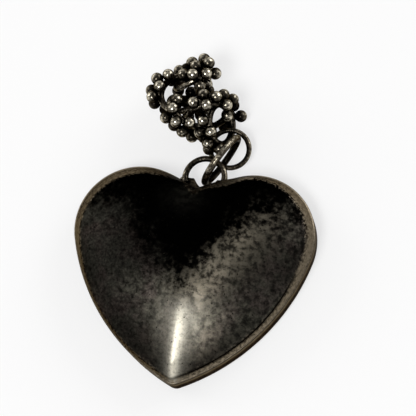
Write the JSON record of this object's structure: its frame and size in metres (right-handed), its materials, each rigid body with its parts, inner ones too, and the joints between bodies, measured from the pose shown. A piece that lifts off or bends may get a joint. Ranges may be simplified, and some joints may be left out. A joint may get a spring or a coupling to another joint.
{
  "type": "heart charm",
  "caption": "Hollow puffed silver heart charm on a soldered eyelet and open jump ring, with the bunched end of a chain of wire rings set with paired granules.",
  "frame": {"origin": "on the flat back, on the heart's middle line, just below its widest place", "axes": "+Z from the flat back to the domed front, +Y from the tip to the notch, +X to the right seen from the front"},
  "size_m": [0.0294, 0.0407, 0.0086],
  "materials": {
    "dome_silver": "oxidised silver, blackened, rubbed paler at the rim",
    "wire_silver": "oxidised silver wire, rubbed bright",
    "granule_silver": "oxidised silver balls, polished by wear on top"
  },
  "bodies": {
    "heart": {"front_shell": "dome_silver", "back_shell": "dome_silver", "hanger_eyelet": "wire_silver"},
    "jump_ring": {"jump_ring": "wire_silver"},
    "plain_ring": {"plain_ring": "wire_silver"},
    "link_1": {"link_ring_1": "wire_silver", "granule_1_1": "granule_silver", "granule_1_2": "granule_silver", "granule_1_3": "granule_silver", "granule_1_4": "granule_silver", "granule_1_5": "granule_silver", "granule_1_6": "granule_silver", "granule_1_7": "granule_silver", "granule_1_8": "granule_silver", "granule_1_9": "granule_silver", "granule_1_10": "granule_silver"},
    "link_2": {"link_ring_2": "wire_silver", "granule_2_1": "granule_silver", "granule_2_2": "granule_silver", "granule_2_3": "granule_silver", "granule_2_4": "granule_silver", "granule_2_5": "granule_silver", "granule_2_6": "granule_silver", "granule_2_7": "granule_silver", "granule_2_8": "granule_silver", "granule_2_9": "granule_silver", "granule_2_10": "granule_silver"},
    "link_3": {"link_ring_3": "wire_silver", "granule_3_1": "granule_silver", "granule_3_2": "granule_silver", "granule_3_3": "granule_silver", "granule_3_4": "granule_silver", "granule_3_5": "granule_silver", "granule_3_6": "granule_silver", "granule_3_7": "granule_silver", "granule_3_8": "granule_silver", "granule_3_9": "granule_silver", "granule_3_10": "granule_silver"},
    "link_4": {"link_ring_4": "wire_silver", "granule_4_1": "granule_silver", "granule_4_2": "granule_silver", "granule_4_3": "granule_silver", "granule_4_4": "granule_silver", "granule_4_5": "granule_silver", "granule_4_6": "granule_silver", "granule_4_7": "granule_silver", "granule_4_8": "granule_silver", "granule_4_9": "granule_silver", "granule_4_10": "granule_silver"},
    "link_5": {"link_ring_5": "wire_silver", "granule_5_1": "granule_silver", "granule_5_2": "granule_silver", "granule_5_3": "granule_silver", "granule_5_4": "granule_silver", "granule_5_5": "granule_silver", "granule_5_6": "granule_silver", "granule_5_7": "granule_silver", "granule_5_8": "granule_silver", "granule_5_9": "granule_silver", "granule_5_10": "granule_silver"}
  },
  "joints": [
    {"name": "jump_ring_swing", "type": "hinge", "parent": "heart", "child": "jump_ring", "pos_m": [0.0016, 0.00948, 0.003], "axis": [-0.867, 0.4983, 0], "range_deg": [-6, 60]},
    {"name": "plain_ring_swing", "type": "hinge", "parent": "jump_ring", "child": "plain_ring", "pos_m": [0.00307, 0.01186, 0.00146], "axis": [0.4561, 0.5534, 0.6969], "range_deg": [-60, 4]},
    {"name": "link_1_swing", "type": "hinge", "parent": "plain_ring", "child": "link_1", "pos_m": [0.00176, 0.01387, 0.00225], "axis": [0.2474, 0.8538, -0.4582], "range_deg": [-2, 20]},
    {"name": "link_2_swing", "type": "hinge", "parent": "link_1", "child": "link_2", "pos_m": [0.00068, 0.01558, 0.00545], "axis": [0.2474, 0.8538, -0.4582], "range_deg": [0, 60]},
    {"name": "link_3_swing", "type": "hinge", "parent": "link_2", "child": "link_3", "pos_m": [-0.00212, 0.01435, 0.00558], "axis": [0.1368, 0.6347, -0.7606], "range_deg": [-18, 4]},
    {"name": "link_4_swing", "type": "hinge", "parent": "link_3", "child": "link_4", "pos_m": [-0.00461, 0.01651, 0.00526], "axis": [0, 0.1595, 0.9872], "range_deg": [0, 40]},
    {"name": "link_5_swing", "type": "hinge", "parent": "link_4", "child": "link_5", "pos_m": [-0.00363, 0.01991, 0.00421], "axis": [-0.5452, 0.6437, 0.5371], "range_deg": [-8, 4]}
  ]
}
